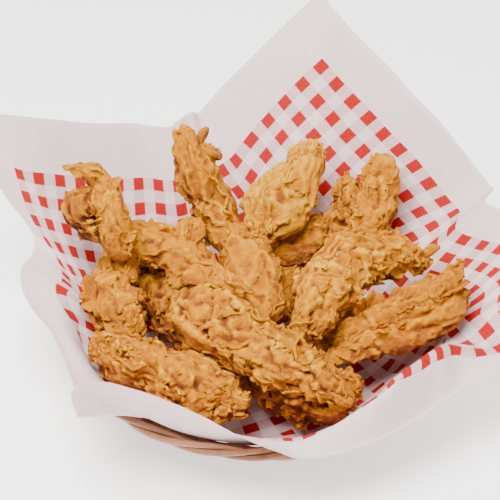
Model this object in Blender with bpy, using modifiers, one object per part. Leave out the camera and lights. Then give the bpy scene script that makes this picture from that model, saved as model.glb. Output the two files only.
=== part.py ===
# A lined wicker basket heaped with crumbed chicken tenders.
# Units are metres in Blender, millimetres in the values below.
import bpy
import math
import random
from mathutils import Vector, noise

mm = 0.001

# basket, a shallow flared bowl standing on a flat woven disc
baseRadius = 73.0
baseThick = 3.0
wallFoot = 76.0          # outer radius where the wall meets the table
wallFootInner = 73.4
wallTopHeight = 30.0
wallFlare = 35.0 / 33.0  # outward run for each millimetre of rise
wallThick = 3.0
stakes = 40
weaverRows = 6
weaveRelief = 0.55

# rim, three canes twisted round each other
rimRadius = 111.2
rimHeight = 33.6
rimTwistRadius = 2.08
rimCaneRadius = 1.62
rimTurns = 8
rimSteps = 56
rimSides = 1             # bevel resolution, a six-sided cane

# paper liner, one square sheet pushed into the basket corner up
sheetHalf = 168.0
sheetTurn = 30.0         # azimuth of the sheet's first side
sheetShift = (14.0, 23.0)
paperThick = 0.7
paperFloor = 3.8
paperBase = 71.0
paperRim = 106.8
paperRimHeight = 38.0
paperToRim = 120.8       # flat distance from the middle to the rim

# One row a fold station of the sheet: direction in the flat sheet,
# direction where it crosses the rim, tuck inward, then the way the
# paper leaves the rim (azimuth, elevation), the share of the paper left
# above the rim and how far the middle of that length bellies up.
folds = [
    (76, 77, 0, 81, 49, 0.97, 0),        # back corner
    (87, 87, 0, 101, 47, 0.90, 0),
    (95, 94, -1, 120, 43, 0.81, 0),
    (100, 100.5, -2, 114, 43, 0.81, 0),
    (104, 105, -4.5, 114, 48, 0.87, 0),  # back pleat
    (108, 108, -3, 112, 39, 0.88, 0),
    (116, 111.5, 0, 108, 35, 0.90, 0),
    (120, 116.5, 0, 102, 41, 0.86, 0),
    (131, 129, 0, 108, 43, 0.95, 0),
    (141, 141, 0, 117, 45, 0.97, 0),
    (152, 151, 0, 139, 48, 0.99, 0),
    (159, 158, 0, 148, 46, 1.00, 0),     # left corner
    (168, 164, 0, 139, 27, 0.96, 0),
    (177, 170, 0, 130, 18, 0.86, 2),
    (187, 175.5, -3.5, 142, 20, 1.03, 4),  # left pleat
    (191, 177.5, -2.5, 154, 25, 1.11, 5),
    (195, 181, -1, 176, 28, 0.99, 5),
    (202, 187, 0, 199, 35, 0.80, 5),
    (208, 196, 0, 195, 43, 0.71, 5),
    (222, 207, 0, 206, 42, 0.66, 5),
    (235, 217, 0, 213, 39, 0.64, 4),
    (246, 226, 1, 216, 35, 0.60, 3),
    (253, 232, 2, 221, 31, 0.56, 2),     # front corner, curled down
    (257, 235, 2, 208, 46, 0.79, 3),
    (260, 239, 2, 210, 56, 0.82, 3),
    (266, 246, 1.5, 240, 64, 0.84, 3),
    (272, 255, 0, 253, 60, 0.91, 3),
    (279, 266, -2, 257, 46, 0.93, 3),
    (283, 275, -3, 264, 29, 0.90, 3),
    (290, 281, -2, 270, 15, 0.88, 4),
    (296, 288, -1.5, 273, 9, 0.86, 9),
    (302, 296, -2, 276, 7, 0.88, 16),
    (309, 306, -3, 282, 7, 0.90, 24),
    (316, 312, -5, 287, 8, 0.86, 29),
    (322, 319, -6, 291, 10, 0.84, 29),
    (326, 325, -6, 295, 12, 0.78, 28),
    (331, 330, -5, 299, 14, 0.71, 26),
    (335, 336, -4, 304, 16, 0.67, 20),
    (339, 343, -2, 314, 17, 0.77, 10),
    (346, 350, 0, 332, 19, 0.80, 0),
    (351, 357, 0, 352, 21, 0.83, 0),     # right corner
    (360, 364, 0, 367, 29, 1.02, 0),
    (371, 371, 0, 371, 36, 1.08, 0),
    (379, 377, 0, 372, 43, 1.03, 0),
    (387, 387, 0, 371, 47, 0.94, 0),
    (393, 395, 0, 368, 39, 1.10, 0),
    (397, 401, 0, 363, 36, 1.14, 0),
    (410, 413, 0, 376, 50, 1.11, 0),
    (421, 422, 0, 402, 58, 1.03, 0),
    (430, 430, 0, 430, 55, 0.98, 0),
]
paperRings = (30.0, 68.0, 76.0, 98.0, 120.8)  # flat distances up to the rim
paperShares = (0.3, 0.65, 1.0)                # shares of the free flap

# tenders, from the bottom of the heap up: the middle line of each piece, half its
# breadth at each point of that line, half its thickness, and a seed for its crust
tenders = [
    ("tender_bottom_left", ((-54, 30, 25), (-36, 20, 21), (-12, 11, 20)), (14, 14, 14), 9, 3),
    ("tender_bottom_right", ((68, 12, 25), (48, 2, 21), (22, -8, 20)), (14, 14, 14), 9, 5),
    ("tender_bottom_front", ((-26, -42, 23), (0, -30, 21), (24, -24, 22)), (12, 12, 12), 8, 8),
    ("tender_hollow_lower", ((29, 72, 28), (16, 50, 22), (4, 28, 20)), (13, 13, 13), 10, 13),
    ("tender_hollow_left", ((-70, 42, 38), (-61, 25, 34), (-44, 0, 31), (-29, -23, 27)), (11, 13, 13, 12), 10, 21),
    ("tender_front", ((0, -42, 27), (20, -57, 29), (42, -72, 33)), (13, 14, 13), 10, 34),
    ("tender_hollow_upper", ((52, 72, 44), (24, 68, 41), (0, 62, 35)), (13, 13, 13), 10, 55),
    ("tender_front_scrap", ((39, -57, 36), (46, -59, 36), (53, -59, 36)), (7, 8, 7), 6, 89),
    ("tender_front_left", ((-91, -43, 51), (-69, -50, 45), (-42, -60, 40), (-16, -73, 37)),
     (14, 15, 16, 14), 11, 144),
    ("tender_front_right", ((116, 11, 68), (105, -3, 60), (86, -14, 50), (62, -23, 42), (41, -35, 38)),
     (9, 13, 16, 15, 10), 11, 233),
    ("tender_left", ((-84, 26, 56), (-87, 12, 51), (-84, -4, 46), (-78, -15, 41)), (13, 15, 15, 13), 11, 377),
    ("tender_middle", ((-12, 45, 63), (-6, 17, 57), (0, -6, 46)), (15, 17, 16), 11, 610),
    ("tender_upper_left", ((-91, 43, 62), (-74, 41, 62), (-59, 37, 60), (-44, 31, 57), (-33, 26, 54)),
     (9, 12, 14, 13, 9), 10, 987),
    ("tender_back", ((27, 100, 85), (25, 90, 80), (16, 81, 71), (8, 70, 62), (0, 61, 52)),
     (9, 12, 16, 19, 14), 11, 1597),
    ("tender_back_right", ((75, 86, 86), (70, 78, 78), (66, 70, 69), (62, 62, 60), (57, 55, 53)),
     (10, 16, 19, 20, 18), 11, 2584),
    ("tender_standing", ((-46, 82, 112), (-43, 77, 102), (-38, 70, 90), (-30, 64, 77), (-24, 56, 66),
     (-21, 47, 57)), (8, 10, 12, 13, 13, 11), 10, 4181),
    ("tender_arched", ((93, 27, 58), (81, 25, 64), (65, 18, 70), (50, 6, 73), (39, -9, 71), (31, -23, 64),
     (24, -33, 54)), (10, 13, 15, 16, 17, 15, 12), 11, 6765),
    ("tender_long", ((-48, 1, 60), (-28, -31, 63), (-4, -53, 61), (21, -66, 53), (45, -78, 44)),
     (14, 18, 17, 16, 11), 11, 10946),
    ("tender_top_left", ((-113, 44, 116), (-104, 44, 112), (-98, 42, 104), (-94, 36, 94), (-89, 28, 81),
     (-81, 22, 68)), (4, 7, 11, 13, 12, 12), 10, 17711),
]
broadFace = Vector((0.0, -0.62, 0.79))  # the way the broad side of a piece looks
tenderRings = 17
tenderSides = 13
hiddenRings = 11         # pieces that the heap mostly covers are coarser
hiddenSides = 9
clearance = 0.4

for thing in list(bpy.data.objects):
    bpy.data.objects.remove(thing)

part = bpy.data.collections.new("lined_basket_of_tenders")
bpy.context.scene.collection.children.link(part)
cutters = bpy.data.collections.new("cutters")
bpy.context.scene.collection.children.link(cutters)


def material(name, colour, rough):
    made = bpy.data.materials.new(name)
    made.use_nodes = True
    surface = made.node_tree.nodes["Principled BSDF"]
    surface.inputs["Base Color"].default_value = (*colour, 1.0)
    surface.inputs["Roughness"].default_value = rough
    return made


def addMesh(name, points, faces, finish, group=part):
    mesh = bpy.data.meshes.new(name)
    mesh.from_pydata([(p[0] * mm, p[1] * mm, p[2] * mm) for p in points], [], faces)
    mesh.update()
    thing = bpy.data.objects.new(name, mesh)
    thing.data.materials.append(finish)
    group.objects.link(thing)
    return thing


def polar(radius, azimuth, height):
    a = math.radians(azimuth)
    return Vector((radius * math.cos(a), radius * math.sin(a), height))


def heading(azimuth, elevation):
    a, e = math.radians(azimuth), math.radians(elevation)
    return Vector((math.cos(a) * math.cos(e), math.sin(a) * math.cos(e), math.sin(e)))


# basket floor
def makeBase(finish):
    bpy.ops.mesh.primitive_cylinder_add(vertices=stakes, radius=baseRadius * mm, depth=baseThick * mm,
                                        location=(0, 0, baseThick * mm / 2))
    base = bpy.context.object
    base.name = "basket_base"
    base.data.materials.append(finish)
    for group in list(base.users_collection):
        group.objects.unlink(base)
    part.objects.link(base)
    return base


# basket wall: the outside carries the over-and-under of the weavers
def makeWall(finish):
    rows = weaverRows * 2
    profile = 2 + rows + 1
    points, faces = [], []
    for k in range(stakes):
        azimuth = k * 360.0 / stakes
        points.append(polar(wallFootInner, azimuth, 0.0))
        points.append(polar(wallFoot, azimuth, 0.0))
        for row in range(1, rows + 1):
            height = wallTopHeight * row / rows
            weave = weaveRelief * (1 if (row // 2 + k) % 2 else -1) if row % 2 else 0.0
            if row == rows:
                weave = 0.0
            points.append(polar(wallFoot + height * wallFlare + weave, azimuth, height))
        inside = wallThick / math.sin(math.atan2(1.0, wallFlare))
        points.append(polar(wallFoot + wallTopHeight * wallFlare - inside, azimuth, wallTopHeight))
    for k in range(stakes):
        n = (k + 1) % stakes
        for j in range(profile):
            m = (j + 1) % profile
            faces.append((k * profile + j, n * profile + j, n * profile + m, k * profile + m))
    return addMesh("basket_wall", points, faces, finish)


# one cane of the rim, a closed curve that winds round the rim's own circle
def makeCane(index, finish):
    curve = bpy.data.curves.new("rim_cane_%d" % (index + 1), "CURVE")
    curve.dimensions = "3D"
    curve.bevel_depth = rimCaneRadius * mm
    curve.bevel_resolution = rimSides
    spline = curve.splines.new("POLY")
    spline.points.add(rimSteps - 1)
    spline.use_cyclic_u = True
    for i in range(rimSteps):
        twist = 2 * math.pi * (index / 3.0 + rimTurns * i / rimSteps)
        point = polar(rimRadius + rimTwistRadius * math.cos(twist), i * 360.0 / rimSteps,
                      rimHeight + rimTwistRadius * math.sin(twist))
        spline.points[i].co = (*(point * mm), 1.0)
    cane = bpy.data.objects.new(curve.name, curve)
    cane.data.materials.append(finish)
    part.objects.link(cane)
    return cane


# distance from the middle to the cut edge of the sheet, in the flat
def sheetEdge(azimuth):
    a = math.radians(azimuth - sheetTurn)
    c, s = math.cos(a), math.sin(a)
    along = (sheetShift[0] + math.copysign(sheetHalf, c)) / c if abs(c) > 1e-6 else 1e9
    across = (sheetShift[1] + math.copysign(sheetHalf, s)) / s if abs(s) > 1e-6 else 1e9
    return min(along, across)


def stationColumns():
    columns = []
    count = len(folds)
    for i in range(count):
        here = folds[i]
        after = folds[(i + 1) % count]
        wrap = 360.0 if i == count - 1 else 0.0
        after = (after[0] + wrap, after[1] + wrap, after[2], after[3] + wrap, *after[4:])
        parts = 2 if after[0] - here[0] > 10 else 1
        for k in range(parts):
            t = k / parts
            columns.append(tuple(a + (b - a) * t for a, b in zip(here, after)))
    return columns


def paperPoint(column, flat, share):
    azimuth, atRim, tuck, leanAzimuth, leanElevation, part_, lift = column
    if share == 0.0:
        turn = min(max((flat - 40.0) / (paperToRim - 40.0), 0.0), 1.0)
        turn = turn * turn * (3 - 2 * turn)
        where = azimuth + (atRim - azimuth) * turn
        if flat <= paperBase:
            radius, height = flat, paperFloor
        else:
            up = (flat - paperBase) / (paperToRim - paperBase)
            radius = paperBase + (paperRim - paperBase) * up
            height = paperFloor + (paperRimHeight - paperFloor) * up
        gather = min(max((flat - 60.0) / 35.0, 0.0), 1.0)
        radius += tuck * gather * 0.72
        height += -tuck * gather * 0.6 * (1.0 - turn * turn)
        if flat >= paperToRim:
            radius, height = paperRim + tuck, paperRimHeight
        return polar(radius, where, height)
    free = part_ * (sheetEdge(azimuth) - paperToRim)
    belly = lift * share * (1 - share) ** 2 * 6.75
    outward = polar(0.15 * belly, atRim, belly)
    return polar(paperRim + tuck, atRim, paperRimHeight) + heading(leanAzimuth, leanElevation) * (share * free) + outward


def makePaper(finish):
    columns = stationColumns()
    count = len(columns)
    grid = [[paperPoint(c, flat, 0.0) for c in columns] for flat in paperRings]
    grid += [[paperPoint(c, 0.0, share) for c in columns] for share in paperShares]
    middle = Vector((0, 0, paperFloor))
    skin = [middle] + [p for row in grid for p in row]
    triangles = []
    for k in range(count):
        triangles.append((0, 1 + k, 1 + (k + 1) % count))
    for row in range(len(grid) - 1):
        for k in range(count):
            n = (k + 1) % count
            a, b = 1 + row * count + k, 1 + row * count + n
            c, d = a + count, b + count
            if (skin[a] - skin[d]).length < (skin[b] - skin[c]).length:
                triangles += [(a, c, d), (a, d, b)]
            else:
                triangles += [(a, c, b), (b, c, d)]
    sheet = addMesh("paper_liner", skin, triangles, finish)
    thicken = sheet.modifiers.new("paper_thickness", "SOLIDIFY")
    thicken.thickness = paperThick * mm
    thicken.offset = 0.0
    return sheet


# a smooth middle line through the control points
# the place at share t of a line, or with values what those given at its points come to there
def spineAt(points, t, values=None):
    spans = [(points[i + 1] - points[i]).length for i in range(len(points) - 1)]
    want = t * sum(spans)
    i = 0
    while i < len(spans) - 1 and want > spans[i]:
        want -= spans[i]
        i += 1
    u = want / spans[i]
    if values:
        return values[i].lerp(values[i + 1], u * u * (3 - 2 * u))
    p1, p2 = points[i], points[i + 1]
    p0 = points[i - 1] if i > 0 else p1 * 2 - p2
    p3 = points[i + 2] if i + 2 < len(points) else p2 * 2 - p1
    return 0.5 * (2 * p1 + (p2 - p0) * u + (2 * p0 - 5 * p1 + 4 * p2 - p3) * u * u
                  + (3 * p1 - p0 - 3 * p2 + p3) * u * u * u)


def makeTender(label, piece, grow, finish, group):
    name, line, breadths, thickest, seed = piece
    rng = random.Random(seed)
    spine = [Vector(p) for p in line]
    start = (spine[0] - spine[1]).normalized() * (min(thickest, breadths[0]) * 0.75)
    end = (spine[-1] - spine[-2]).normalized() * (min(thickest, breadths[-1]) * 0.75)
    spine = [spine[0] + start] + spine + [spine[-1] + end]
    widths = [Vector((b, min(thickest, 1.1 * b), 0)) for b in breadths[:1] + breadths + breadths[-1:]]
    offset = Vector((rng.uniform(-50, 50), rng.uniform(-50, 50), rng.uniform(-50, 50)))
    wobble = [rng.uniform(0, 6.28) for _ in range(4)]
    points = []

    def crust(p):
        broad = noise.noise((p + offset) / 11.0)
        fine = noise.noise((p + offset * 1.7) / 5.0)
        fold = 1.0 - 2.0 * abs(noise.noise((p + offset * 0.6) / 9.0))
        return 2.2 * broad + 1.6 * fine + 1.5 * fold - 0.7

    hidden = "_bottom_" in name or "_hollow_" in name or "_scrap" in name
    steps = hiddenRings if hidden else tenderRings
    sides = hiddenSides if hidden else tenderSides
    # a few flakes of batter stand off the crust
    flakes = {(rng.randrange(2, steps - 2), rng.randrange(sides)): rng.uniform(1.4, 2.8)
              for _ in range(4 if hidden else 14)}
    for i in range(steps):
        t = (i + 0.45) / (steps - 0.1)
        ends = max(0.0, 1 - abs(2 * t - 1) ** 3.2) ** 0.5
        here = spineAt(spine, t)
        along = (spineAt(spine, min(t + 0.02, 1)) - spineAt(spine, max(t - 0.02, 0))).normalized()
        side = along.cross(broadFace).normalized()
        up = side.cross(along).normalized()
        breadth, thick, _ = spineAt(spine, t, widths)
        bulge = 1 + 0.06 * math.sin(5 * t + wobble[0]) + 0.04 * math.sin(11 * t + wobble[1])
        for k in range(sides):
            a = 2 * math.pi * k / sides + 0.3 * math.sin(3 * t + wobble[2])
            c, s = math.cos(a), math.sin(a)
            c, s = math.copysign(abs(c) ** 0.85, c), math.copysign(abs(s) ** 0.85, s)
            radial = side * (breadth * bulge * c) + up * (thick * bulge * s)
            p = here + radial * ends
            rough = (crust(p) + flakes.get((i, k), 0.0)) * (0.4 + 0.6 * ends) * min(1, thick / 8)
            points.append(p + radial.normalized() * (rough + grow))
    tips = (spineAt(spine, 0.0) - (spine[1] - spine[0]).normalized() * grow,
            spineAt(spine, 1.0) + (spine[-1] - spine[-2]).normalized() * grow)
    points += tips
    faces = []
    for i in range(steps - 1):
        for k in range(sides):
            n = (k + 1) % sides
            a, b = i * sides + k, i * sides + n
            c, d = a + sides, b + sides
            faces += [(a, d, b), (a, c, d)] if (i + k) % 2 else [(a, c, b), (b, c, d)]
    for k in range(sides):
        n = (k + 1) % sides
        faces.append((steps * sides, k, n))
        last = (steps - 1) * sides
        faces.append((steps * sides + 1, last + n, last + k))
    return addMesh(label, points, faces, finish, group)


wicker = material("peeled_willow", (0.60, 0.36, 0.20), 0.55)
paper = material("waxed_food_paper", (0.83, 0.79, 0.78), 0.6)
crust = material("fried_crumb_crust", (0.62, 0.33, 0.10), 0.7)

makeBase(wicker)
makeWall(wicker)
for index in range(3):
    makeCane(index, wicker)
makePaper(paper)

# each piece is hollowed where it rests on the pieces below it
placed = []
for piece in tenders:
    name, line, breadth = piece[:3]
    tender = makeTender(name, piece, 0.0, crust, part)
    middle = sum((Vector(p) for p in line), Vector()) / len(line)
    reach = max((Vector(p) - middle).length for p in line) + max(breadth) + 6
    below = bpy.data.collections.new("under_" + name)
    cutters.children.link(below)
    for other, otherMiddle, otherReach in placed:
        if (middle - otherMiddle).length < reach + otherReach:
            cutter = makeTender("cut_%s_%s" % (name, other[0]), other, clearance, crust, below)
            cutter.hide_render = True
            cutter.display_type = "WIRE"
    if len(below.objects):
        cut = tender.modifiers.new("rest_on_lower", "BOOLEAN")
        cut.operation = "DIFFERENCE"
        cut.operand_type = "COLLECTION"
        cut.collection = below
        cut.solver = "EXACT"
    placed.append((piece, middle, reach))
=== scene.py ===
import bpy
import math
import numpy as np
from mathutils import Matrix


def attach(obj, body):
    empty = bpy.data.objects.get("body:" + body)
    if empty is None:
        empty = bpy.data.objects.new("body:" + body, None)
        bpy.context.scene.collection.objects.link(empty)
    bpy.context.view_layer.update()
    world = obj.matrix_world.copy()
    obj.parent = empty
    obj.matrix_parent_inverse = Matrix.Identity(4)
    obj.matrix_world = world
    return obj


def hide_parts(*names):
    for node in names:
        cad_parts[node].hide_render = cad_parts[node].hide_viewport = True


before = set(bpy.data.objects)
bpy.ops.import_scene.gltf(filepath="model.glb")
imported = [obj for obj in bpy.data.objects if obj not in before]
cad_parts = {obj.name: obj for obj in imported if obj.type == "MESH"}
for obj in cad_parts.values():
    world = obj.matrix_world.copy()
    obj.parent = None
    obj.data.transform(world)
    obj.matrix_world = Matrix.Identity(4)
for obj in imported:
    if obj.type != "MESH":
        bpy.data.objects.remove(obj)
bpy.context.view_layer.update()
mm = 0.001


# ---- small helpers shared by every piece

def toLinear(hexColour):
    parts = [int(hexColour[i:i + 2], 16) / 255 for i in (1, 3, 5)]
    return tuple(c / 12.92 if c <= 0.04045 else ((c + 0.055) / 1.055) ** 2.4 for c in parts) + (1.0,)


def startMaterial(name):
    material = bpy.data.materials.new(name)
    material.use_nodes = True
    material.node_tree.nodes.clear()
    return material, material.node_tree


# adds one shader node: settings by property or socket name, links as socket: node or (node, output)
def addNode(tree, kind, settings=None, links=None):
    node = tree.nodes.new("ShaderNode" + kind)
    for key, value in (settings or {}).items():
        if isinstance(key, str) and hasattr(node, key):
            setattr(node, key, value)
        else:
            node.inputs[key].default_value = value
    for key, source in (links or {}).items():
        source, output = source if isinstance(source, tuple) else (source, 0)
        tree.links.new(source.outputs[output], node.inputs[key])
    return node


def setRamp(node, stops):
    ramp = node.color_ramp
    while len(ramp.elements) > 1:
        ramp.elements.remove(ramp.elements[-1])
    ramp.elements[0].position, ramp.elements[0].color = stops[0][0], toLinear(stops[0][1])
    for place, colour in stops[1:]:
        ramp.elements.new(place).color = toLinear(colour)


# a mesh object from arrays in millimetres, with point attributes and an optional UV map
def makePiece(name, points, faces, material, values=None, flat=None):
    mesh = bpy.data.meshes.new(name)
    mesh.from_pydata((points * mm).tolist(), [], faces)
    for key, numbers in (values or {}).items():
        layer = mesh.attributes.new(key, "FLOAT", "POINT")
        layer.data.foreach_set("value", np.ascontiguousarray(numbers, np.float32))
    if flat is not None:
        corners = np.empty(len(mesh.loops), np.int64)
        mesh.loops.foreach_get("vertex_index", corners)
        sheet = mesh.uv_layers.new(name="flatSheet")
        sheet.data.foreach_set("uv", flat[corners].astype(np.float32).ravel())
    mesh.shade_smooth()
    mesh.materials.append(material)
    thing = bpy.data.objects.new(name, mesh)
    bpy.context.scene.collection.objects.link(thing)
    return thing


# one well mixed whole number for each cell of a pattern
def cellNumber(key, seed):
    x, y, z = key.T
    h = (x * 73856093) ^ (y * 19349663) ^ (z * 83492791) ^ (seed * 26544357)
    h = (h ^ (h >> 15)) * 2246822519 & 0xffffffff
    h = (h ^ (h >> 13)) * 3266489917 & 0xffffffff
    return h ^ (h >> 16)


# smooth gradient noise, about -1 to 1, at points given in cells
def softNoise(points, seed):
    cell = np.floor(points).astype(np.int64)
    inside = points - cell
    fade = inside ** 3 * (inside * (inside * 6 - 15) + 10)
    total = np.zeros(len(points))
    for corner in range(8):
        step = np.array([corner & 1, corner >> 1 & 1, corner >> 2 & 1])
        h = cellNumber(cell + step, seed)
        angle = (h & 0xffff) * (math.pi / 32768)
        rise = ((h >> 16) & 0xffff) / 32767.5 - 1
        level = np.sqrt(1 - rise * rise)
        away = inside - step
        slope = level * np.cos(angle) * away[:, 0] + level * np.sin(angle) * away[:, 1] + rise * away[:, 2]
        weight = np.prod(np.where(step, fade, 1 - fade), axis=1)
        total += weight * slope
    return total * 1.7


# three of them at once, as sideways shifts
def noiseVectors(points, seed):
    return np.stack([softNoise(points, seed + k) for k in range(3)], -1)


# the same noise along a single line
def lineNoise(s, offset, seed):
    return softNoise(np.stack([s, np.full(len(s), offset), 0 * s], -1), seed)


def ridged(points, seed, sharp):
    return np.clip(1 - 2.2 * np.abs(softNoise(points, seed)), 0, 1) ** sharp


def smoothStep(low, high, x):
    t = np.clip((x - low) / (high - low), 0, 1)
    return t * t * (3 - 2 * t)


def unit(v):
    return v / np.maximum(np.linalg.norm(v, axis=-1, keepdims=True), 1e-9)


# how far along its path each point lies
def travelled(path):
    return np.concatenate([[0], np.cumsum(np.linalg.norm(np.diff(path, axis=0), axis=1))])


# quads of a grid of rows by columns, closed round the columns where asked
def gridFaces(rows, columns, closed, flip=False):
    i = np.arange(rows - 1)[:, None] * columns
    k = np.arange(columns if closed else columns - 1)[None, :]
    n = (k + 1) % columns
    quads = np.stack([i + k, i + n, i + columns + n, i + columns + k], -1).reshape(-1, 4)
    return quads[:, ::-1] if flip else quads


# a round tube along points, with the given outward directions to start its section from
def tubeRings(path, outward, radius, sides, closed):
    ahead = np.roll(path, -1, 0) - np.roll(path, 1, 0)
    if not closed:
        ahead[0], ahead[-1] = path[1] - path[0], path[-1] - path[-2]
    ahead = unit(ahead)
    across = unit(np.cross(ahead, outward))
    up = np.cross(across, ahead)
    a = np.arange(sides) * 2 * math.pi / sides
    radius = np.broadcast_to(np.asarray(radius, float), (len(path),))[:, None, None]
    section = np.cos(a)[None, :, None] * up[:, None] + np.sin(a)[None, :, None] * across[:, None]
    return (path[:, None] + radius * section).reshape(-1, 3)


# ---- camera, floor and light

view = dict(elevation=38.0, lens=147.0, sensor=36.0, farClip=20.0, place=(-7.1, -921.2, 808.1))

camera = bpy.data.objects.new("photographCamera", bpy.data.cameras.new("photographCamera"))
camera.data.lens = view["lens"]
camera.data.sensor_width = view["sensor"]
camera.data.clip_end = view["farClip"]
camera.location = [c * mm for c in view["place"]]
camera.rotation_euler = (math.radians(90 - view["elevation"]), 0, 0)
bpy.context.scene.collection.objects.link(camera)
bpy.context.scene.camera = camera

studio = dict(  # in metres and watts
    floorColour="#F7F5F4",
    floorSize=8.0,
    floorHeight=-0.0004,  # a hair under the basket's foot
    floorGlow=1.2,  # lifts the board to the white of a product photograph
    sky=0.32,
    aim=(0, 0, 0.05),
    key=dict(place=(-0.32, -0.30, 1.42), size=1.1, power=68.0),
    fill=dict(place=(1.1, -0.9, 0.9), size=1.2, power=9.0),
)


def addSoftbox(name, spec):
    lamp = bpy.data.lights.new(name, "AREA")
    lamp.shape, lamp.size, lamp.energy = "DISK", spec["size"], spec["power"]
    box = bpy.data.objects.new(name, lamp)
    box.location = spec["place"]
    away = [a - b for a, b in zip(spec["place"], studio["aim"])]
    flat = math.hypot(away[0], away[1])
    box.rotation_euler = (math.atan2(flat, away[2]), 0, math.atan2(away[1], away[0]) + math.pi / 2)
    bpy.context.scene.collection.objects.link(box)


addSoftbox("keySoftbox", studio["key"])
addSoftbox("fillSoftbox", studio["fill"])
world = bpy.data.worlds.new("studioWhite")
world.use_nodes = True
sky = world.node_tree.nodes["Background"]
sky.inputs["Color"].default_value = (1, 1, 1, 1)
sky.inputs["Strength"].default_value = studio["sky"]
bpy.context.scene.world = world

# matt painted board: no gloss, so it only takes the soft shadow
boardPaint, tree = startMaterial("mattBoardPaint")
surface = addNode(tree, "BsdfPrincipled", {
    "Base Color": toLinear(studio["floorColour"]), "Roughness": 0.9,
    "Emission Color": (1.0, 1.0, 1.0, 1.0), "Emission Strength": studio["floorGlow"]})
addNode(tree, "OutputMaterial", None, {"Surface": surface})
bpy.ops.mesh.primitive_plane_add(size=studio["floorSize"], location=(0, 0, studio["floorHeight"]))
floor = bpy.context.object
floor.name = "paleFloor"
floor.data.materials.append(boardPaint)
print("studio ready")


# ---- wicker basket: stakes, weavers and a twisted border

wicker = dict(
    foot=(76.0, 0.0),  # outside of the wall at the table
    top=(107.8, 30.0),  # outside of the wall under the border
    halfWall=1.5,
    stakes=32, stakeRadius=1.25, stakeSides=8, stakePoints=8,
    stakeStart=1.0,  # above the foot
    stakeOver=1.5,  # past the top, into the border
    stakeTone=(-0.05, 0.2),
    rows=17, weaverRadius=1.3, weaverSides=7, stepsPerStake=5,
    firstRow=1.6,  # above the foot
    rowsShort=3.0,  # of the wall's length, left free by the rows
    press=0.78,  # the weavers press into the stakes
    bend=0.8,  # and turn sharply round them, 1 would be an even wave
    weaverSpread=(0.92, 1.05),
    weaverTone=(-0.1, 0.25),
    grainShift=37.0,  # keeps the grain of one cane from running on in the next
)
disc = dict(  # the floor: rings woven over spokes
    height=1.5, radius=73.5,
    spokePoints=24, spokeRadius=0.8, spokeShort=1.2,
    rings=26, ringRadius=0.85, stepsPerStake=3, sides=6,
    firstRing=6.0, ringsShort=7.2, wave=0.6,
)
border = dict(  # canes twisted round each other
    radius=111.2, height=33.6,
    canes=3, caneRadius=1.85, sides=12, points=540,
    twist=2.08, turns=8,  # how far the canes lie from their middle, turns round the rim
    uneven=(0.25, 5),  # how much, and how many times round the rim
    swell=(0.05, 9),
    tones=(0.02, 0.09),
)


def willowMaterial():
    # peeled willow: cane stripped wet and dried, satin, pinkish tan with fine lengthwise grain
    material, tree = startMaterial("peeledWillow")
    where = addNode(tree, "UVMap", {"uv_map": "flatSheet"})
    # 4.5 mm along the cane, a ninth of the way round it
    stretched = addNode(tree, "VectorMath", {"operation": "MULTIPLY", 1: (0.22, 9.0, 1.0)}, {0: where})
    grain = addNode(tree, "TexNoise", {"Scale": 1.0, "Detail": 4.0, "Roughness": 0.6}, {"Vector": stretched})
    caneTone = addNode(tree, "Attribute", {"attribute_name": "caneTone"})
    blend = addNode(tree, "Math", {"operation": "MULTIPLY_ADD", 1: 0.55}, {0: grain, 2: (caneTone, "Fac")})
    colour = addNode(tree, "ValToRGB", None, {"Fac": blend})
    setRamp(colour, [(0.0, "#5A3018"), (0.3, "#8A5838"), (0.55, "#B27C58"), (1.0, "#D8A680")])
    bump = addNode(tree, "Bump", {"Strength": 0.35, "Distance": 0.0003}, {"Height": grain})
    surface = addNode(tree, "BsdfPrincipled", {"Roughness": 0.52, "IOR": 1.5},
                      {"Base Color": colour, "Normal": bump})
    addNode(tree, "OutputMaterial", None, {"Surface": surface})
    return material


willow = willowMaterial()


# joins canes into one piece; each carries its own tone and its own lengthwise grain
def bindCanes(name, canes, hides):
    points, faces, tones, flats = [], [], [], []
    for n, (path, outward, radius, sides, closed, tone) in enumerate(canes):
        rings, rows, start = tubeRings(path, outward, radius, sides, closed), len(path), sum(map(len, points))
        quads = gridFaces(rows, sides, True)
        first, last = np.arange(sides), np.arange(sides) + (rows - 1) * sides
        if closed:
            join = np.stack([last, np.roll(last, -1), np.roll(first, -1), first], -1)
            quads = np.concatenate([quads, join])
        faces += (quads + start).tolist()
        if not closed:
            faces += [(start + first[::-1]).tolist(), (start + last).tolist()]
        u = np.repeat(travelled(path), sides) + wicker["grainShift"] * n
        flats.append(np.stack([u, np.tile(np.arange(sides) / sides, rows)], -1))
        points.append(rings)
        tones.append(np.full(len(rings), tone))
    piece = makePiece(name, np.concatenate(points), faces, willow,
                      {"caneTone": np.concatenate(tones)}, np.concatenate(flats))
    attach(piece, "root")
    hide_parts(*hides)


# a ring of points and the way out at each
def ringPath(count, radius, height):
    a = np.arange(count) * 2 * math.pi / count
    c, s = np.cos(a), np.sin(a)
    return np.stack([radius * c, radius * s, height + 0 * a], -1), np.stack([c, s, 0 * a], -1)


caneDraw = np.random.default_rng(11)
footR, footZ = wicker["foot"]
topR, topZ = wicker["top"]
slope = np.array([topR - footR, topZ - footZ])
slope /= np.linalg.norm(slope)
outR, outZ = slope[1], -slope[0]  # away from the wall, outward and down
middleR, middleZ = footR - outR * wicker["halfWall"], footZ - outZ * wicker["halfWall"]
wallLength = math.hypot(topR - footR, topZ - footZ)

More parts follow.
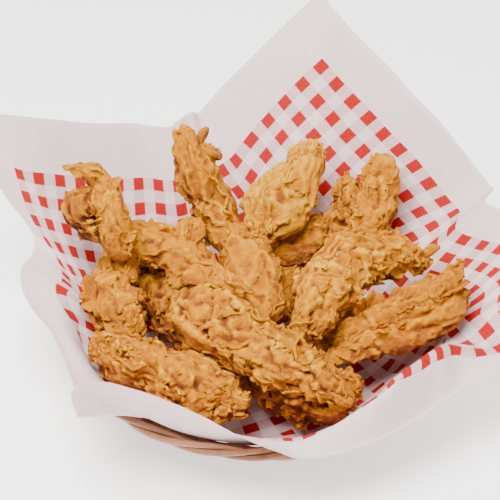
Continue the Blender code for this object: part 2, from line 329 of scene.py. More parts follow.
wall, floorWeave = [], []
stakes = wicker["stakes"]
for k in range(stakes):
    a = 2 * math.pi * k / stakes
    along = np.linspace(wicker["stakeStart"], wallLength + wicker["stakeOver"], wicker["stakePoints"])
    r, z = middleR + slope[0] * along, middleZ + slope[1] * along
    path = np.stack([r * math.cos(a), r * math.sin(a), z], -1)
    side = np.tile([-math.sin(a), math.cos(a), 0.0], (len(path), 1))
    tone = caneDraw.uniform(*wicker["stakeTone"])
    wall.append((path, side, wicker["stakeRadius"], wicker["stakeSides"], False, tone))
samples = stakes * wicker["stepsPerStake"]
turn = np.arange(samples) / samples * stakes  # counts the stakes on the way round
reach = wicker["stakeRadius"] + wicker["weaverRadius"]
for row in range(wicker["rows"]):
    along = wicker["firstRow"] + (wallLength - wicker["rowsShort"]) * row / (wicker["rows"] - 1)
    weave = np.cos(math.pi * (turn + row)) * reach * wicker["press"]
    weave = np.sign(weave) * np.abs(weave) ** wicker["bend"]
    r = middleR + slope[0] * along + outR * weave
    z = middleZ + slope[1] * along + outZ * weave
    path, out = ringPath(samples, r, np.maximum(z, wicker["weaverRadius"] + 0.05))
    thick = wicker["weaverRadius"] * caneDraw.uniform(*wicker["weaverSpread"])
    wall.append((path, out, thick, wicker["weaverSides"], True, caneDraw.uniform(*wicker["weaverTone"])))
bindCanes("wovenWall", wall, ["basket_wall"])

for k in range(stakes // 2):
    a = 2 * math.pi * k / stakes
    x = np.linspace(-1, 1, disc["spokePoints"]) * (disc["radius"] - disc["spokeShort"])
    path = np.stack([x * math.cos(a), x * math.sin(a), disc["height"] + 0 * x], -1)
    over, tone = np.tile([0.0, 0.0, 1.0], (len(path), 1)), caneDraw.uniform(*wicker["stakeTone"])
    floorWeave.append((path, over, disc["spokeRadius"], disc["sides"], False, tone))
samples = stakes * disc["stepsPerStake"]
turn = np.arange(samples) / samples * stakes
for ring in range(disc["rings"]):
    r = disc["firstRing"] + (disc["radius"] - disc["ringsShort"]) * ring / (disc["rings"] - 1)
    path, out = ringPath(samples, r, disc["height"] + disc["wave"] * np.cos(math.pi * (turn + ring)))
    tone = caneDraw.uniform(*wicker["weaverTone"])
    floorWeave.append((path, out, disc["ringRadius"], disc["sides"], True, tone))
bindCanes("wovenFloor", floorWeave, ["basket_base"])

for index in range(border["canes"]):
    count = border["points"]
    a = np.arange(count) * 2 * math.pi / count
    (shift, shifts), (swell, swells) = border["uneven"], border["swell"]
    twist = 2 * math.pi * index / border["canes"] + border["turns"] * a + shift * np.sin(shifts * a + index)
    path, out = ringPath(count, border["radius"] + border["twist"] * np.cos(twist),
                         border["height"] + border["twist"] * np.sin(twist))
    thick = border["caneRadius"] * (1 + swell * np.sin(swells * a + index))
    cane = (path, out, thick, border["sides"], True, border["tones"][0] + border["tones"][1] * index)
    bindCanes("borderCane%d" % (index + 1), [cane], ["rim_cane_%d" % (index + 1)])
print("basket woven")


# ---- paper liner: one square sheet, folded into the basket

paper = dict(
    half=168.0,  # half the side of the square, so it was cut 336 mm square
    turn=30.0,  # how the square lies over the basket, in degrees
    shift=(14.0, 23.0),  # the basket's middle on the sheet
    thick=0.25,
    floor=3.8,
    base=71.0,  # where it turns up from the floor
    rim=106.8, rimHeight=38.0,
    toRim=120.8,  # the way over the sheet to the rim
    columns=336, freeRows=26,
    innerRows=((2, 64, 9), (68, 74, 5), (77, 120.8, 16)),
    turnFrom=40.0,  # from here out the folds turn the paper sideways
    crease=(1.6, 8.0),  # height and reach of the soft bend at the foot of the wall
    gather=(60.0, 35.0),  # where a tuck begins, and the way it takes to grow
    tuckIn=0.72, tuckDown=0.6,
    puffOut=0.15,  # how far the belly of a free flap leans out
    dents=(42.0, 0.9), ridges=(30.0, 0.35),  # handling leaves the sheet slightly crumpled
    check=15.5,  # repeat of the printed squares
    checks=9,  # red squares each way from the middle one
    offCentre=(0.0, -10.0),  # the print sits a little off the middle of the sheet
    dots=0.8,  # half-tone squares are rows of fine dots this far apart
)

# fold stations: direction in the flat sheet, direction at the rim, tuck, lean azimuth,
# lean elevation, share of the paper left above the rim, belly of the free flap
folds = [
    (76, 77, 0, 81, 49, 0.97, 0),  # back corner
    (87, 87, 0, 101, 47, 0.90, 0),
    (95, 94, -1, 120, 43, 0.81, 0),
    (100, 100.5, -2, 114, 43, 0.81, 0),
    (104, 105, -4.5, 114, 48, 0.87, 0),  # back pleat
    (108, 108, -3, 112, 39, 0.88, 0),
    (116, 111.5, 0, 108, 35, 0.90, 0),
    (120, 116.5, 0, 102, 41, 0.86, 0),
    (131, 129, 0, 108, 43, 0.95, 0),
    (141, 141, 0, 117, 45, 0.97, 0),
    (152, 151, 0, 139, 48, 0.99, 0),
    (159, 158, 0, 148, 46, 1.00, 0),  # left corner
    (168, 164, 0, 139, 27, 0.96, 0),
    (177, 170, 0, 130, 18, 0.86, 2),
    (187, 175.5, -3.5, 142, 20, 1.03, 4),  # left pleat
    (191, 177.5, -2.5, 154, 25, 1.11, 5),
    (195, 181, -1, 176, 28, 0.99, 5),
    (202, 187, 0, 199, 35, 0.80, 5),
    (208, 196, 0, 195, 43, 0.71, 5),
    (222, 207, 0, 206, 42, 0.66, 5),
    (235, 217, 0, 213, 39, 0.64, 4),
    (246, 226, 1, 216, 35, 0.60, 3),
    (253, 232, 2, 221, 31, 0.56, 2),  # front corner, curled down
    (257, 235, 2, 208, 46, 0.79, 3),
    (260, 239, 2, 210, 56, 0.82, 3),
    (266, 246, 1.5, 240, 64, 0.84, 3),
    (272, 255, 0, 253, 60, 0.91, 3),
    (279, 266, -2, 257, 46, 0.93, 3),
    (283, 275, -3, 264, 29, 0.90, 3),
    (290, 281, -2, 270, 15, 0.88, 4),
    (296, 288, -1.5, 273, 9, 0.86, 9),
    (302, 296, -2, 276, 7, 0.88, 16),
    (309, 306, -3, 282, 7, 0.90, 24),
    (316, 312, -5, 287, 8, 0.86, 29),
    (322, 319, -6, 291, 10, 0.84, 29),
    (326, 325, -6, 295, 12, 0.78, 28),
    (331, 330, -5, 299, 14, 0.71, 26),
    (335, 336, -4, 304, 16, 0.67, 20),
    (339, 343, -2, 314, 17, 0.77, 10),
    (346, 350, 0, 332, 19, 0.80, 0),
    (351, 357, 0, 352, 21, 0.83, 0),  # right corner
    (360, 364, 0, 367, 29, 1.02, 0),
    (371, 371, 0, 371, 36, 1.08, 0),
    (379, 377, 0, 372, 43, 1.03, 0),
    (387, 387, 0, 371, 47, 0.94, 0),
    (393, 395, 0, 368, 39, 1.10, 0),
    (397, 401, 0, 363, 36, 1.14, 0),
    (410, 413, 0, 376, 50, 1.11, 0),
    (421, 422, 0, 402, 58, 1.03, 0),
    (430, 430, 0, 430, 55, 0.98, 0),
]


# a curve through the stations that never overshoots them
def easeThrough(x, stations, heights):
    gap = np.diff(stations)
    rise = np.diff(heights) / gap
    pull = np.zeros(len(stations))
    same = rise[:-1] * rise[1:] > 0
    before, after = rise[:-1][same], rise[1:][same]
    pull[1:-1][same] = 2 * before * after / (before + after)
    i = np.clip(np.searchsorted(stations, x, side="right") - 1, 0, len(gap) - 1)
    t, h = (x - stations[i]) / gap[i], gap[i]
    return ((1 + 2 * t) * (1 - t) ** 2 * heights[i] + t * (1 - t) ** 2 * h * pull[i]
            + t * t * (3 - 2 * t) * heights[i + 1] + t * t * (t - 1) * h * pull[i + 1])


# the way over the sheet to its edge
def sheetEdge(azimuth):
    a = np.radians(azimuth - paper["turn"])
    c, s = np.cos(a), np.sin(a)
    c, s = np.where(np.abs(c) < 1e-6, 1e-6, c), np.where(np.abs(s) < 1e-6, 1e-6, s)
    return np.minimum((paper["shift"][0] + np.sign(c) * paper["half"]) / c,
                      (paper["shift"][1] + np.sign(s) * paper["half"]) / s)


def direction(a, e=0.0):
    a, e = np.radians(a), np.radians(e)
    return np.stack([np.cos(a) * np.cos(e), np.sin(a) * np.cos(e), np.sin(e) + 0 * a], -1)


def gridNormals(points):
    down = np.gradient(points, axis=0)
    across = (np.roll(points, -1, 1) - np.roll(points, 1, 1)) / 2
    return unit(np.cross(down, across)).reshape(-1, 3)


def foldSheet():
    table = np.array(folds, float)
    first, last = table[:3].copy(), table[-3:].copy()
    first[:, [0, 1, 3]] += 360
    last[:, [0, 1, 3]] -= 360
    table = np.concatenate([last, table, first])
    columns = paper["columns"]
    azimuth = folds[0][0] + np.arange(columns) * 360 / columns
    stations, values = table[:, 0], table[:, 1:].T
    atRim, tuck, leanA, leanE, share, belly = (easeThrough(azimuth, stations, v) for v in values)
    edge = sheetEdge(azimuth)
    free = edge - paper["toRim"]
    outFlat = direction(azimuth - paper["turn"])[:, :2]
    floor, base, rim, rimHeight = paper["floor"], paper["base"], paper["rim"], paper["rimHeight"]
    (crease, creaseReach), (gatherFrom, gatherWay) = paper["crease"], paper["gather"]
    upward = np.array([0, 0, 1.0])
    rows, flats = [], []
    for flat in np.concatenate([np.linspace(*span) for span in paper["innerRows"]]):
        turn = smoothStep(paper["turnFrom"], paper["toRim"], flat)
        up = np.clip((flat - base) / (paper["toRim"] - base), 0, 1)
        bend = crease * max(0.0, 1 - abs(flat - base) / creaseReach) ** 2
        gather = np.clip((flat - gatherFrom) / gatherWay, 0, 1)
        radius = min(flat, base) + (rim - base) * up - bend + tuck * gather * paper["tuckIn"]
        height = floor + (rimHeight - floor) * up + bend - tuck * gather * paper["tuckDown"] * (1 - turn ** 2)
        where = direction(azimuth + (atRim - azimuth) * turn)
        rows.append(where * radius[:, None] + upward * height[:, None])
        flats.append(outFlat * flat)
    start = direction(atRim) * (rim + tuck)[:, None] + upward * rimHeight
    lean = direction(leanA, leanE)
    puff = direction(atRim) * paper["puffOut"] + upward
    for t in np.linspace(0, 1, paper["freeRows"] + 1)[1:]:
        lift = belly * t * (1 - t) ** 2 * 6.75  # 1 where the belly is fullest
        rows.append(start + lean * (t * share * free)[:, None] + puff * lift[:, None])
        flats.append(outFlat * (edge - (1 - t) * share * free)[:, None])
    points, flat = np.array(rows), (np.array(flats) - np.array(paper["shift"])).reshape(-1, 2)
    normal = gridNormals(points)
    where = np.concatenate([flat, np.zeros((len(flat), 1))], 1)
    (dentSize, dent), (ridgeSize, ridge) = paper["dents"], paper["ridges"]
    crumple = dent * softNoise(where / dentSize, 5) + ridge * (ridged(where / ridgeSize, 9, 2.0) - 0.3)
    strength = smoothStep(60, 125, np.linalg.norm(where, axis=1))
    return points.reshape(-1, 3) + normal * (crumple * strength)[:, None], flat, normal, len(points), columns


def paperMaterial(name, printed):
    # bleached food paper, machine glazed: matt fibre with a faint waxy sheen, thin enough to glow a little
    material, tree = startMaterial(name)
    where = addNode(tree, "UVMap", {"uv_map": "flatSheet"})  # millimetres on the flat sheet
    middle = (*paper["offCentre"], 0.0)
    fromMiddle = addNode(tree, "VectorMath", {"operation": "SUBTRACT", 1: middle}, {0: where})
    split = addNode(tree, "SeparateXYZ", None, {"Vector": fromMiddle})
    repeat, reach = paper["check"], paper["check"] * (paper["checks"] + 0.25)
    bands = []
    for axis in "XY":
        place = addNode(tree, "Math", {"operation": "PINGPONG", 1: repeat / 2}, {0: (split, axis)})
        size = addNode(tree, "Math", {"operation": "ABSOLUTE"}, {0: (split, axis)})
        for source, limit in ((place, repeat / 4), (size, reach)):
            bands.append(addNode(tree, "Math", {"operation": "LESS_THAN", 1: limit}, {0: source}))
    stripeX, insideX, stripeY, insideY = bands
    both = addNode(tree, "Math", {"operation": "MULTIPLY"}, {0: stripeX, 1: stripeY})
    either = addNode(tree, "Math", {"operation": "MAXIMUM"}, {0: stripeX, 1: stripeY})
    room = addNode(tree, "Math", {"operation": "MULTIPLY"}, {0: insideX, 1: insideY})
    dots = addNode(tree, "TexChecker", {"Scale": 1 / paper["dots"], "Color1": (1, 1, 1, 1),
                                        "Color2": (0, 0, 0, 1)}, {"Vector": where})
    tone = addNode(tree, "Math", {"operation": "MULTIPLY_ADD", 1: 0.42, 2: 0.09}, {0: (dots, "Fac")})
    half = addNode(tree, "Math", {"operation": "MULTIPLY"}, {0: either, 1: tone})
    ink = addNode(tree, "Math", {"operation": "MAXIMUM"}, {0: both, 1: half})
    within = addNode(tree, "Math", {"operation": "MULTIPLY"}, {0: ink, 1: room})
    patchy = addNode(tree, "TexNoise", {"Scale": 0.9, "Detail": 3.0}, {"Vector": where})
    uneven = addNode(tree, "Math", {"operation": "MULTIPLY_ADD", 1: 0.12, 2: 0.92}, {0: patchy})
    laid = addNode(tree, "Math", {"operation": "MULTIPLY"}, {0: within, 1: uneven})
    # only a tenth of the ink shows through on the back
    shown = addNode(tree, "Math", {"operation": "MULTIPLY", 1: 1.0 if printed else 0.10}, {0: laid})
    fibre = addNode(tree, "TexNoise", {"Scale": 0.35, "Detail": 5.0, "Roughness": 0.65}, {"Vector": where})
    tones = {6: toLinear("#E4CCC9"), 7: toLinear("#EEDAD7")}
    stock = addNode(tree, "Mix", {"data_type": "RGBA", **tones}, {0: fibre})
    inked = addNode(tree, "Mix", {"data_type": "RGBA", 7: toLinear("#B20000")}, {0: shown, 6: (stock, 2)})
    bump = addNode(tree, "Bump", {"Strength": 0.12, "Distance": 0.0002}, {"Height": fibre})
    surface = addNode(tree, "BsdfPrincipled", {"Roughness": 0.62, "IOR": 1.45, "Specular IOR Level": 0.1},
                      {"Base Color": (inked, 2), "Normal": bump})
    through = addNode(tree, "BsdfTranslucent", None, {"Color": (inked, 2)})
    mix = addNode(tree, "MixShader", {0: 0.14}, {1: surface, 2: through})
    addNode(tree, "OutputMaterial", None, {"Surface": mix})
    return material


def makeLiner():
    skin, flat, normal, rows, columns = foldSheet()
    half = paper["thick"] / 2
    centre = np.array([[0, 0, paper["floor"]]])
    upper = np.concatenate([skin + normal * half, centre + [[0, 0, half]]])
    lower = np.concatenate([skin - normal * half, centre - [[0, 0, half]]])
    size = len(upper)
    points = np.concatenate([upper, lower])
    flat = np.concatenate([flat, [[-paper["shift"][0], -paper["shift"][1]]]])
    quads = gridFaces(rows, columns, True)
    k = np.arange(columns)
    n = (k + 1) % columns
    fan = np.stack([np.full(columns, size - 1), n, k], -1)
    last = (rows - 1) * columns
    rim = np.stack([last + k, last + n, last + n + size, last + k + size], -1)
    sides = (quads, quads[:, ::-1] + size, fan, fan[:, ::-1] + size, rim)
    faces = [face for side in sides for face in side.tolist()]
    liner = makePiece("paperLiner", points, faces, paperMaterial("glazedFoodPaper", True), None,
                      np.concatenate([flat, flat]))
    liner.data.materials.append(paperMaterial("glazedFoodPaperBack", False))
    under = np.zeros(len(liner.data.polygons), np.int32)
    under[len(quads):2 * len(quads)] = 1
    under[2 * len(quads) + columns:2 * len(quads) + 2 * columns] = 1
    liner.data.polygons.foreach_set("material_index", under)
    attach(liner, "root")
    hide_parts("paper_liner")


makeLiner()
print("paper folded")


# ---- tenders: floured strips of chicken, each with its own crust

# Each is one strand or more, grown together. line holds its middle and half its breadth at each
# point, thick half its thickness, in mm. batter scales the crust's three layers, fold its lengthwise
# folds, rough how shaggy it is; flakes and frills count its loose flakes and ruffled lips, lips
# places some one by one (line, height), tone lightens it.
tenders = {
    "bottom_left": [dict(line=((-54, 30, 25, 14), (-36, 20, 21, 14), (-12, 11, 20, 14)), thick=9,
        seed=3)],
    "bottom_right": [dict(line=((68, 12, 25, 14), (48, 2, 21, 14), (22, -8, 20, 14)), thick=9, seed=5)],
    "bottom_front": [dict(line=((-26, -42, 23, 12), (0, -30, 21, 12), (24, -24, 22, 12)), thick=8,
        seed=8)],
    "hollow_lower": [dict(line=((29, 72, 28, 13), (16, 50, 22, 13), (4, 28, 20, 13)), thick=10, seed=13,
        tone=-0.1)],
    "hollow_left": [dict(line=((-70, 42, 38, 11), (-61, 25, 34, 13), (-44, 0, 31, 13), (-29, -23, 27, 12)),
        thick=10, seed=21, batter=(1, 1, 1.5), tone=-0.2)],
    "front": [dict(line=((0, -42, 27, 13), (20, -57, 29, 14), (42, -72, 33, 13)), thick=10, seed=34,
        batter=(0.8, 1.4, 1.6), tone=-0.12, flakes=50)],
    "hollow_upper": [dict(line=((52, 72, 44, 13), (24, 68, 41, 13), (0, 62, 35, 13)), thick=10, seed=55,
        batter=(0.6, 1, 1), tone=-0.08)],
    "front_scrap": [dict(line=((39, -57, 36, 6), (46, -59, 36, 7), (53, -59, 36, 5)), thick=5, seed=89,
        rough=1.3, flakes=30, flakeSize=4.2, frills=12, tone=-0.08)],
    "front_left": [dict(line=((-91, -43, 51, 14), (-69, -50, 45, 15), (-42, -60, 40, 16), (-16, -73, 37, 14)),
        thick=11, seed=144, batter=(0.6, 1.2, 1.8), rough=1.5, flakes=110, flakeSize=3.0,
        frills=20, lips=((((-93, -40, 60), (-82, -37, 60), (-69, -44, 58)), 4),))],
    "front_right": [
      dict(line=((115, -8, 60, 8), (105, -15, 54, 10), (88, -20, 47, 10), (68, -27, 42, 10), (50, -34, 40, 8),
          (38, -40, 38, 5)), thick=9, seed=233, batter=(0.5, 0.4, 0.5), fold=1.6, rough=0.7,
        flakes=20, flakeSize=3.0, frills=12,
        lips=((((112, -2, 62), (103, -8, 60), (90, -15, 56), (76, -20, 52), (60, -27, 50),
          (48, -31, 48)), 3.5),)),
      dict(line=((115, 9, 70, 5), (107, -3, 65, 8), (94, -10, 59, 9), (77, -13, 53, 10), (61, -19, 48, 10),
          (46, -28, 44, 8)), thick=9, seed=234, batter=(0.5, 0.5, 0.5), fold=1.6, rough=0.9,
        flakes=40, flakeSize=3.6, frills=22,
        lips=((((52, -18, 57), (60, -14, 59), (70, -11, 61)), 9), (((116, 14, 73), (110, 6, 73),
          (103, 0, 71)), 4)))],
    "left": [dict(line=((-84, 26, 56, 13), (-87, 12, 51, 15), (-84, -4, 46, 15), (-78, -15, 41, 13)),
        thick=11, seed=377, batter=(1, 1, 1.2), flakes=36,
        lips=((((-97, 12, 55), (-99, 3, 54), (-98, -9, 51)), 9),))],
    "middle": [
      dict(line=((-12, 45, 63, 15), (-6, 17, 57, 17), (0, -6, 46, 16)), thick=11, seed=610,
        batter=(0.7, 0.8, 1), fold=1.4, flakes=24, frills=12),
      dict(line=((-2, -26, 56, 4), (1, -22, 60, 4), (4, -17, 62, 3)), thick=2, seed=611)],
    "upper_left": [
      dict(line=((-91, 43, 62, 9), (-74, 41, 62, 12), (-59, 37, 60, 14), (-44, 31, 57, 13), (-33, 26, 54, 9)),
        thick=10, seed=987, batter=(0.8, 0.8, 1), frills=16),
      dict(line=((-47, 40, 66, 6), (-42, 42, 70, 8), (-36, 42, 71, 7)), thick=4, seed=988,
        batter=(0.8, 0.6, 1), rough=1.2, flakes=6, frills=10, tone=0.05)],
    "back": [dict(
        line=((27, 100, 85, 13), (25, 90, 80, 15), (16, 81, 71, 17), (8, 70, 62, 18), (0, 61, 52, 14)),
        thick=11, seed=1597, batter=(0.7, 0.9, 1), fold=1.4, frills=20, tone=0.24)],
    "back_right": [
      dict(line=((74, 84, 88, 10), (72, 78, 79, 12), (69, 69, 70, 13), (65, 58, 60, 12)), thick=11,
        seed=2584, batter=(0.8, 0.8, 1), fold=1.2, frills=16, tone=0.1),
      dict(line=((51, 82, 74, 8), (54, 72, 68, 10), (50, 64, 60, 11), (46, 55, 53, 10)), thick=9,
        seed=2585, batter=(1.1, 1.3, 1), frills=10)],
    "standing": [
      dict(line=((-46, 82, 112, 8), (-43, 77, 102, 10), (-38, 70, 90, 12), (-30, 64, 77, 13),
          (-24, 56, 66, 13), (-21, 47, 57, 11)), thick=10, seed=4181, batter=(0.55, 0.6, 1),
        tone=0.12, fold=2.0, rough=0.8, flakes=16, frills=7,
        lips=((((-34, 61, 102), (-25, 57, 95), (-18, 51, 86), (-14, 45, 77)), 4.5),)),
      dict(line=((-39, 80, 104, 2.6), (-36, 84, 110, 2.8), (-33, 86, 113, 2.4)), thick=2.6, seed=4182,
        tone=-0.12),
      dict(line=((-36, 80, 102, 4), (-31, 77, 102, 4), (-26, 76, 100, 3)), thick=4, seed=4183,
        batter=(1, 1, 2.0), flakes=8, flakeSize=3.0, tone=-0.05)],
    "arched": [
      dict(line=((93, 27, 58, 10), (81, 25, 64, 13), (65, 18, 70, 15), (50, 6, 73, 16), (39, -9, 71, 17),
          (31, -23, 64, 15), (24, -33, 54, 12)), thick=11, seed=6765, batter=(1, 1.2, 1),
        tone=0.1, rough=1.1, flakes=50, flakeSize=5.0, frills=34,
        lips=((((26, 5, 76), (35, 7, 80), (45, 14, 82), (56, 24, 82), (65, 25, 80), (80, 31, 75),
          (91, 29, 69)), 4.5),)),
      dict(line=((96, 27, 64, 3), (100, 29, 66, 3), (104, 30, 67, 2)), thick=2, seed=6766)],
    "long": [
      dict(line=((-48, 1, 60, 14), (-28, -31, 63, 18), (-4, -53, 61, 17), (21, -66, 53, 16),
          (45, -78, 44, 11)), thick=11, seed=10946, batter=(1.15, 1, 1), flakes=36,
        flakeSize=5.0, frills=30,
        lips=((((-53, 3, 70), (-43, 3, 73), (-33, -6, 74), (-21, -11, 74)), 5), (((-21, -38, 70),
          (-10, -39, 70), (0, -48, 69), (12, -50, 67), (16, -60, 63), (27, -65, 59), (39, -71, 54),
          (47, -81, 48)), 5.5))),
      dict(line=((-45, -7, 74, 6), (-33, -9, 78, 8), (-20, -18, 80, 5), (-9, -26, 80, 2.5)), thick=2.6,
        seed=10947, batter=(1, 0.6, 1), flakes=8, frills=6, tone=0.06)],
    "top_left": [
      dict(line=((-113, 42, 116, 3), (-106, 43, 114, 4), (-97, 44, 108, 6), (-91, 38, 100, 7.5),
          (-87, 28, 91, 9), (-85, 22, 82, 11), (-82, 19, 72, 12)), thick=8, seed=17711,
        batter=(0.6, 1, 1.4), frills=14, tone=0.14),
      dict(line=((-100, 38, 99, 7), (-104, 34, 93, 11), (-101, 32, 87, 12), (-93, 29, 83, 10)), thick=9,
        seed=17712, batter=(0.9, 1.7, 2.2), rough=1.6, flakes=40, flakeSize=2.8, frills=5,
        tone=-0.1)],
}

crustRules = dict(
    broadFace=(0.0, -0.62, 0.79),  # the way the flat sides look
    step=0.78, sides=110,  # between the rings, and points round each
    hiddenStep=1.4, hiddenSides=64,
    small=8.5, smallSides=48,  # below this half breadth a strand is a scrap
    square=0.85, endRound=3.4,
    warps=((18.0, 4.5, 20), (7.0, 2.0, 0), (2.8, 0.8, 3)),  # period, reach, step of the seed
    slides=((6.0, 1.6, 60), (2.8, 0.7, 63)),
    lump=(14.0, 1.6), fold=(7.5, 1.7), grain=(1.3, 0.24),
    sink=0.85,  # how far into a lower piece a piece may reach
    layers=(  # plates, chips on them and the fine knobs
        dict(size=13.0, stretch=(0.6, 1, 1), swell=1.6, rim=1.2, tilt=2.8,
         level=1.6, lip=2.4, over=3.6, edge=1.1, ruffle=2.6, shows=0.8),
        dict(size=5.4, stretch=(0.6, 1, 1), swell=0.3, rim=1.6, tilt=1.6,
         level=0.8, lip=1.5, over=2.4, edge=0.9, ruffle=1.8, shows=0.7),
        dict(size=2.5, stretch=(0.85, 1, 1), swell=0.35, rim=0.35, tilt=0.4,
         level=0.35, lip=0.35, over=0.5, edge=0.6, ruffle=1.3, shows=0.4)),
    flakes=22, flakeSize=4.2, frills=14, frillStep=1.2,
)
crustTones = [(0.0, "#66341B"), (0.22, "#98501E"), (0.42, "#C4740E"), (0.64, "#DE8E04"), (1.0, "#F8BC34")]


def crustMaterial():
    # fried flour batter: dry and crisp, pale gold where it stands up thin; its creases come out darker,
    # partly browner batter and partly painted shade
    material, tree = startMaterial("friedFlourCrust")
    place = addNode(tree, "TexCoord")
    # the first attribute holds pale raised edges with painted shade in the creases; tone holds the piece's
    # tone, a random tone and painted shade where the crust faces down
    crestAndCreaseShade = addNode(tree, "Attribute", {"attribute_name": "crestAndCreaseShade"})
    tone = addNode(tree, "Attribute", {"attribute_name": "tone"})
    # scales are per metre: speckle of 2.6 mm, patches of 12 mm, a pepper grain every 6 mm, grit of 2 mm
    at = {"Vector": (place, "Object")}
    speckle = addNode(tree, "TexNoise", {"Scale": 380.0, "Detail": 4.0, "Roughness": 0.6}, at)
    patches = addNode(tree, "TexNoise", {"Scale": 80.0, "Detail": 3.0}, at)
    first = addNode(tree, "Math", {"operation": "MULTIPLY_ADD", 1: 0.25}, {0: speckle, 2: (crestAndCreaseShade, "Fac")})
    second = addNode(tree, "Math", {"operation": "MULTIPLY_ADD", 1: 0.45}, {0: patches, 2: first})
    third = addNode(tree, "Math", {"operation": "ADD"}, {0: second, 1: (tone, "Fac")})
    level = addNode(tree, "Math", {"operation": "SUBTRACT", 1: 0.35}, {0: third})
    colour = addNode(tree, "ValToRGB", None, {"Fac": level})
    setRamp(colour, crustTones)
    pepper = addNode(tree, "TexVoronoi", {"Scale": 170.0, "feature": "F1"}, at)
    dot = addNode(tree, "Math", {"operation": "LESS_THAN", 1: 0.055}, {0: pepper})
    seasoned = addNode(tree, "Mix", {"data_type": "RGBA", 7: toLinear("#4A2A12")}, {0: dot, 6: colour})
    grit = addNode(tree, "TexNoise", {"Scale": 520.0, "Detail": 5.0, "Roughness": 0.7}, at)
    bump = addNode(tree, "Bump", {"Strength": 1.0, "Distance": 0.0026}, {"Height": grit})
    gloss = addNode(tree, "MapRange", {"To Min": 0.38, "To Max": 0.68}, {"Value": patches})
    surface = addNode(tree, "BsdfPrincipled", {"IOR": 1.45, "Specular IOR Level": 0.14},
                      {"Base Color": (seasoned, 2), "Roughness": gloss, "Normal": bump})
    addNode(tree, "OutputMaterial", None, {"Surface": surface})
    return material


crust = crustMaterial()


# a smooth curve through the points
def spineAt(points, t):
    starts = travelled(points)
    want = np.clip(t, 0, 1) * starts[-1]
    i = np.clip(np.searchsorted(starts, want, side="right") - 1, 0, len(points) - 2)
    u = ((want - starts[i]) / np.diff(starts)[i])[:, None]
    padded = np.concatenate([[2 * points[0] - points[1]], points, [2 * points[-1] - points[-2]]])
    p0, p1, p2, p3 = (padded[i + k] for k in range(4))
    return 0.5 * (2 * p1 + (p2 - p0) * u + (2 * p0 - 5 * p1 + 4 * p2 - p3) * u ** 2
                  + (3 * p1 - p0 - 3 * p2 + p3) * u ** 3)


def blurGrid(values, reach):
    for _ in range(reach):
        values = (values + np.roll(values, 1, 1) + np.roll(values, -1, 1)) / 3
        padded = np.concatenate([values[:1], values, values[-1:]])
        values = (padded[:-2] + padded[1:-1] + padded[2:]) / 3
    return values


# the crust's cells: the way from the nearest cell's heart, the gap to its border and its own
# three draws, all in cells
def cells(points, seed):
    cell = np.floor(points).astype(np.int64)
    nearest, second = np.full(len(points), 9.0), np.full(len(points), 9.0)
    offset, own = np.zeros((len(points), 3)), np.zeros((len(points), 3))
    for corner in range(27):
        key = cell + [corner % 3 - 1, corner // 3 % 3 - 1, corner // 9 - 1]
        h = cellNumber(key, seed)
        spread = np.stack([h & 1023, h >> 10 & 1023, h >> 20 & 1023], -1) / 1023
        away = points - (key + 0.1 + 0.8 * spread)
        far = np.linalg.norm(away, axis=1)
        closer = far < nearest
        second = np.where(closer, nearest, np.minimum(second, far))
        offset = np.where(closer[:, None], away, offset)
        own = np.where(closer[:, None], spread, own)
        nearest = np.minimum(nearest, far)
    return offset, second - nearest, own


# one layer of batter: pillows with sharp creases between them, each tilted its own way, with a
# thin ruffled lip where it stands over its neighbour. Gives height, lip, the way out of it and
# the form below its lips
def batter(points, layer, seed):
    size, ruffle = layer["size"], layer["ruffle"]
    offset, gap, own = cells(points * layer["stretch"] / size, seed)
    gap = gap * size
    outer = (1 - np.clip(gap / (0.42 * size), 0, 1)) ** 2
    cup = outer * np.clip(0.5 + softNoise(points / (2 * ruffle), seed + 2), 0, 1.4)
    lean = (offset * unit(own[:, [1, 2, 0]] - 0.5)).sum(1)
    ruffled = np.clip(0.55 + 0.75 * softNoise(points / ruffle, seed + 1), 0, 1.5)
    lip = np.exp(-(gap / layer["edge"]) ** 2) * np.clip(lean * 3, -1, 1) * ruffled
    form = layer["swell"] * (1 - outer - 0.6) + layer["rim"] * (cup - 0.2)
    height = form + layer["tilt"] * lean + layer["level"] * (own[:, 0] - 0.5) + layer["lip"] * lip
    return height, lip, unit(offset) * (layer["over"] * np.clip(lip, 0, 1))[:, None], form / 2


# closes sheets given as rows by columns into thin solids, the under side painted a little darker as shade
def thicken(sheet, half, pale):
    count, rows, columns = sheet.shape[:3]
    half, pale = (np.broadcast_to(v, (count, rows, columns)) for v in (half, pale))
    facing = unit(np.cross(np.gradient(sheet, axis=1), np.gradient(sheet, axis=2)))
    block = np.stack([sheet + facing * half[..., None], sheet - facing * half[..., None]], 1).reshape(-1, 3)
    one = rows * columns
    grid, quads = np.arange(one).reshape(rows, columns), gridFaces(rows, columns, False)
    edge = np.concatenate([grid[0], grid[1:, -1], grid[-1, -2::-1], grid[-2:0:-1, 0]])
    following = np.roll(edge, -1)
    rim = np.stack([edge + one, following + one, following, edge], -1)
    single = np.concatenate([quads, quads[:, ::-1] + one, rim])
    faces = (single[None] + (np.arange(count) * 2 * one)[:, None, None]).reshape(-1, 4)
    # the under side darker by 0.08 is painted shade
    return block, faces, np.stack([pale, pale - 0.08], 1).reshape(-1)


